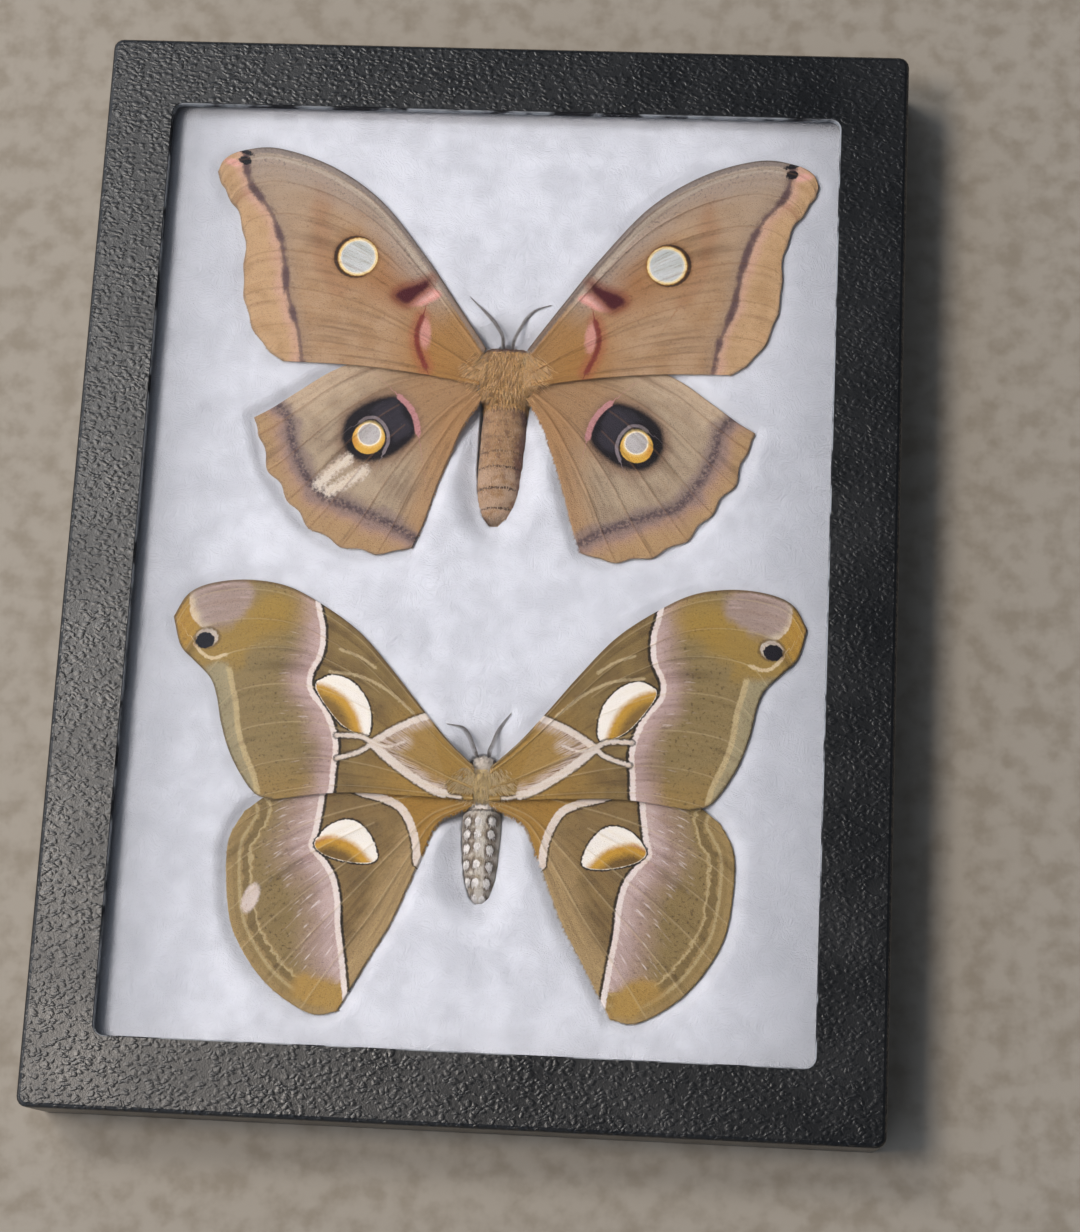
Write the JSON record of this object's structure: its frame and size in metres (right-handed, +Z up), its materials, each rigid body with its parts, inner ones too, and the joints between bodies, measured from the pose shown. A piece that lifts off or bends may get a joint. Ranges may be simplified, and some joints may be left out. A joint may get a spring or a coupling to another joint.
{
  "type": "polyphemus moth specimen in a glazed display case",
  "caption": "Spread polyphemus moth on cotton batting in a shallow black case with a glass lid, above a second, plainer cynthia moth.",
  "frame": {"origin": "middle of the case's footprint, on the surface that it lies on", "axes": "+Z up out of the glass, +Y past the moths' heads along the case's length, +X to the right of someone who looks down on the glass"},
  "size_m": [0.159, 0.212, 0.019],
  "materials": {
    "black_paper": "satin",
    "pane": "gloss",
    "cotton": "matte",
    "wing_scales": "matte",
    "body_fur": "matte",
    "cuticle": "satin",
    "eye": "gloss",
    "olive_scales": "matte"
  },
  "bodies": {
    "root": {"case_lid": "black_paper", "case_tray": "black_paper", "case_glass": "pane", "batting": "cotton", "thorax": "body_fur", "abdomen": "body_fur", "head": "body_fur", "eye_left": "eye", "eye_right": "eye", "antenna_left": "cuticle", "antenna_right": "cuticle", "forewing_left": "wing_scales", "forewing_right": "wing_scales", "hindwing_left": "wing_scales", "hindwing_right": "wing_scales", "leg_front_left": "cuticle", "leg_front_right": "cuticle", "leg_middle_left": "cuticle", "leg_middle_right": "cuticle", "leg_hind_left": "cuticle", "leg_hind_right": "cuticle", "cynthia_moth": "olive_scales"}
  },
  "joints": []
}
